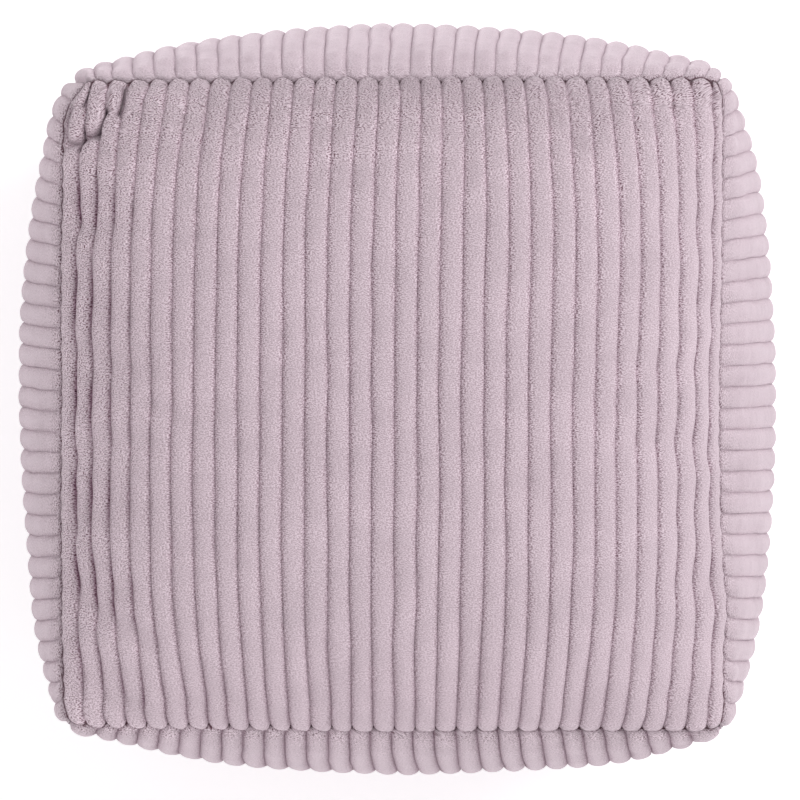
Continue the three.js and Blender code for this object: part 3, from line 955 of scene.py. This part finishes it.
def ribbed(name, mesh, tree, values):
    """The panel as a plain mesh, with its ribs raised."""
    smooth = put(name + "_smooth", mesh)
    modifier = smooth.modifiers.new("ribs", "NODES")
    modifier.node_group = tree
    inputs = [item for item in tree.interface.items_tree if item.in_out == "INPUT"]
    sockets = {item.name: item.identifier for item in inputs}
    for key, value in values.items():
        modifier[sockets[key]] = value
    dressed = smooth.evaluated_get(bpy.context.evaluated_depsgraph_get())
    final = bpy.data.meshes.new_from_object(dressed)
    final.name = name
    bpy.data.objects.remove(smooth)
    bpy.data.meshes.remove(mesh)
    return put(name, final)


# The corduroy

PILE_COLOUR = "#c6b4bd"
# the pile's colour darkened with painted shade, for the valleys
VALLEY_SHADE_COLOUR = "#b6a2ac"
# painted shadow between the tufts and in the pockets
PIT_SHADOW_COLOUR = "#5c3542"
SHEEN_COLOUR = "#f6eaf0"
NOISE_ROUGHNESS = 0.6
TUFT_SIZE = 0.45 * MM  # coarser than the fibres, which are too fine to show
TUFT_STRETCH = 2.0  # how much longer tufts are across the ribs
TUFT_RELIEF = 0.8 * MM
CURL_SHIFT = 5.5 * MM  # how far the pattern of tufts wanders along the ribs

# Size and detail of what changes over the cloth: wisps of tufts, clusters of pits, curls in which
# the tufts lie another way, and patches in which the pile leans another way
SOFT_CHANGES = {
    "wisps": (2 * MM, 2.0),
    "clusters": (5 * MM, 1.0),
    "curls": (14 * MM, 0.0),
    "patches": (38 * MM, 3.0),
}

# How the pile looks at a point. Each row names a value, a Math operation and what goes into it. With
# LINEAR or SMOOTHSTEP it takes one value from the first range to the second.
# Pits between the tufts and pockets get painted shadow, valleys painted shade, and shade carries the
# painted light and shade of each panel.
PILE_FORMULA = [
    ("pit depth", "LINEAR", "tufts", 0.28, 0.42, 0.8, 0.0),
    ("pit share", "LINEAR", "clusters", 0.35, 0.65, 0.4, 1.0),
    ("pits of open pile", "LINEAR", "pile_open", 0.68, 1.0, 0.05, 1.0),
    ("clustered pits", "MULTIPLY", "pit depth", "pit share"),
    ("pits", "MULTIPLY", "clustered pits", "pits of open pile"),
    ("tuft light", "LINEAR", "tufts", 0.36, 0.64, 0.62, 1.38),
    ("pitted light", "SUBTRACT", "tuft light", "pits"),
    ("wisp light", "LINEAR", "wisps", 0.3, 0.7, 0.95, 1.05),
    ("grain", "MULTIPLY", "pitted light", "wisp light"),
    ("open in valleys", "LINEAR", "rib_height", 0.4, 1.0, 1.5, 0.9),
    ("openness", "MULTIPLY", "pile_open", "open in valleys"),
    ("shown grain", "LINEAR", "openness", 0.0, 1.0, 1.0, "grain"),
    ("pocket light", "LINEAR", "pocket", 0.22, 0.48, 1.0, 0.0),
    ("light", "MULTIPLY", "shown grain", "pocket light"),
    ("patch shade", "LINEAR", "patches", 0.3, 0.7, 0.955, 1.04),
    ("shade", "MULTIPLY", "painted_light_and_shade", "patch shade"),
    ("raggedness", "LINEAR", "tufts", 0.35, 0.65, -0.17, 0.17),
    ("ragged edge", "MULTIPLY", "raggedness", "openness"),
    ("ragged height", "ADD", "rib_height", "ragged edge"),
    ("crest", "SMOOTHSTEP", "ragged height", 0.0, 0.75, 0.0, 1.0),
    ("depth of colour", "LINEAR", "shade", 0.65, 0.98, 1.35, 1.0),
    ("relief", "MULTIPLY_ADD", "wisps", 0.4, "tufts"),
    ("shown relief", "MULTIPLY", "relief", "openness"),
]


def linear(code):
    """Linear colour, with alpha, of an sRGB hex code."""
    parts = [int(code[k:k + 2], 16) / 255 for k in (1, 3, 5)]
    return [p / 12.92 if p <= 0.04045 else ((p + 0.055) / 1.055) ** 2.4 for p in parts] + [1.0]


def corduroy():
    """Cut-pile polyester corduroy: matt, with a light velvet sheen where the pile is seen from the side, a
    fine grain of tufts, soft patches where the pile leans another way, and painted shade: darker,
    deeper-coloured valleys, creases and grooves, painted shadows in the pits and pockets, and painted
    light and shade by how each panel faces."""
    material = bpy.data.materials.new("lilac corduroy plush")
    material.use_nodes = True
    tree = material.node_tree
    tree.nodes.clear()
    place = add(tree, "ShaderNodeTexCoord").outputs
    values = {}
    for name, (size, detail) in SOFT_CHANGES.items():
        values[name] = add(tree, "ShaderNodeTexNoise", {
            "Vector": place["Object"], "Scale": 1 / size, "Detail": detail, "Roughness": NOISE_ROUGHNESS})
    shift = add(tree, "ShaderNodeMath", [values["curls"], CURL_SHIFT], operation="MULTIPLY")
    turned = add(tree, "ShaderNodeCombineXYZ", {"Y": shift})
    curled = add(tree, "ShaderNodeVectorMath", [place["UV"], [1 / TUFT_STRETCH, 1, 1], turned],
                 operation="MULTIPLY_ADD")
    values["tufts"] = add(tree, "ShaderNodeTexNoise", {
        "Vector": curled, "Scale": 1 / TUFT_SIZE, "Detail": 0.0, "Roughness": NOISE_ROUGHNESS})
    for name in ("rib_height", "pocket", "pile_open", "painted_light_and_shade", "shade_tint"):
        values[name] = add(tree, "ShaderNodeAttribute", attribute_name=name).outputs["Fac"]
    for name, operation, *inputs in PILE_FORMULA:
        sockets = [values.get(key, key) for key in inputs]
        if operation in ("LINEAR", "SMOOTHSTEP"):
            values[name] = add(tree, "ShaderNodeMapRange", sockets, interpolation_type=operation)
        else:
            values[name] = add(tree, "ShaderNodeMath", sockets, operation=operation)
    # painted shade in the valleys, by how high the rib stands
    valley_shaded = add(tree, "ShaderNodeMix", {
        "Factor": values["crest"], "A": linear(VALLEY_SHADE_COLOUR), "B": linear(PILE_COLOUR)},
        data_type="RGBA").outputs["Result"]
    # grain of tufts, with painted shadow in the pits and pockets
    grain_and_shadows = add(tree, "ShaderNodeMix", {"Factor": values["light"], "A": linear(PIT_SHADOW_COLOUR), "B": valley_shaded},
                  data_type="RGBA", clamp_factor=False).outputs["Result"]
    deep = add(tree, "ShaderNodeGamma", {"Color": grain_and_shadows, "Gamma": values["depth of colour"]})
    deep = add(tree, "ShaderNodeHueSaturation", {"Color": deep, "Saturation": values["shade_tint"]})
    colour = add(tree, "ShaderNodeVectorMath", {0: deep, "Scale": values["shade"]}, operation="SCALE")
    bump = add(tree, "ShaderNodeBump", {
        "Height": values["shown relief"], "Strength": 0.8, "Distance": TUFT_RELIEF})
    shader = add(tree, "ShaderNodeBsdfPrincipled", {
        "Base Color": colour, "Roughness": 0.9, "Sheen Weight": 0.7, "Sheen Roughness": 0.4,
        "Sheen Tint": linear(SHEEN_COLOUR), "Specular IOR Level": 0.15, "Normal": bump})
    add(tree, "ShaderNodeOutputMaterial", {"Surface": shader})
    return material


# The studio and the camera

FLOOR_REACH = 6.0
FLOOR_COLOUR = "#f6f5f6"
FLOOR_GLOW = 0.35  # stands for lamps that light a studio floor to white
WHITE = "#ffffff"
SKY_STRENGTH = 0.79
LAMP_AT = (1.78, 1.1, 1.7)
LAMP_SIZE = 1.2
LAMP_POWER = 23
CAMERA_HEIGHT = 2.0  # over the top seam
CAMERA_OFFSET = (38.5 * MM, 33 * MM)
CAMERA_AIM = (1.1 * MM, -0.8 * MM)
CAMERA_LENS = 180


def white_floor():
    """White painted boards: matt, and lit so evenly that no edge shows."""
    corners = np.array([(-1, -1, 0), (1, -1, 0), (1, 1, 0), (-1, 1, 0)]) * FLOOR_REACH
    mesh = new_mesh("floor", corners, [[0, 1, 2, 3]])
    floor = put("floor", mesh)
    paint = bpy.data.materials.new("white painted floor")
    paint.use_nodes = True
    shader = paint.node_tree.nodes["Principled BSDF"]
    shader.inputs["Base Color"].default_value = linear(FLOOR_COLOUR)
    shader.inputs["Roughness"].default_value = 0.9
    shader.inputs["Emission Color"].default_value = linear(WHITE)
    shader.inputs["Emission Strength"].default_value = FLOOR_GLOW
    mesh.materials.append(paint)


def studio():
    """A plain pale floor, and soft light from the right and from all round."""
    scene = bpy.context.scene
    white_floor()
    world = bpy.data.worlds.new("soft studio")
    world.use_nodes = True
    sky = world.node_tree.nodes["Background"]
    sky.inputs["Color"].default_value = linear(WHITE)
    sky.inputs["Strength"].default_value = SKY_STRENGTH
    scene.world = world
    light = bpy.data.lights.new("key light", "AREA")
    light.shape = "DISK"
    light.size = LAMP_SIZE
    light.energy = LAMP_POWER
    key = put("key light", light)
    key.location = LAMP_AT
    key.rotation_mode = "QUATERNION"
    key.rotation_quaternion = (key.location - Vector((0, 0, TOP_SEAM_Z))).to_track_quat("Z", "Y")
    key.visible_camera = False
    scene.view_settings.view_transform = "Standard"


def camera():
    """The camera almost straight above, with the back of the top at the top of the picture."""
    view = bpy.data.cameras.new("camera")
    view.lens = CAMERA_LENS
    view.sensor_width = 36
    eye = put("camera", view)
    eye.location = (*CAMERA_OFFSET, TOP_SEAM_Z + CAMERA_HEIGHT)
    back = (eye.location - Vector((*CAMERA_AIM, TOP_SEAM_Z / 2))).normalized()
    right = Vector((0, 1, 0)).cross(back).normalized()
    eye.rotation_mode = "QUATERNION"
    eye.rotation_quaternion = Matrix((right, back.cross(right), back)).transposed().to_quaternion()
    bpy.context.scene.camera = eye


def dress():
    """Makes the six panels. The seed of each is its number in the order of the panels."""
    panels = cover_panels(GAP)
    moved = blown_up_cover()
    tree = rib_tree()
    cloth = corduroy()
    axis = np.array([[0, 0, BASE_SEAM_Z + GAP], [0, 0, TOP_SEAM_Z - GAP]])
    cuts = {"top_panel": ("top", 0.0, np.array([[0, 0, TOP_SEAM_Z]])),
            "base_panel": ("base", 0.0, np.array([[0, 0, BASE_SEAM_Z]]))}
    for side in SIDES:
        cuts[side["name"]] = ("side", side["start"], axis + GAP / 2 * math.sqrt(2) * side_out(side))
    for seed, (name, surface) in enumerate(panels.items()):
        kind, start, inner = cuts[name]
        points, places, light = fine_panel(name, surface, moved[name], kind, start, seed)
        fields = panel_fields(name, kind, points, places, light, start)
        mesh = panel_mesh(name, kind, points, fields, inner)
        given = RIB_VALUES | KINDS[kind]["section"] | {"Seed": seed, "Cloth": cloth}
        piece = ribbed("cover_" + name, mesh, tree, given)
        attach(piece, "root")
        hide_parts(name)


studio()
camera()
dress()
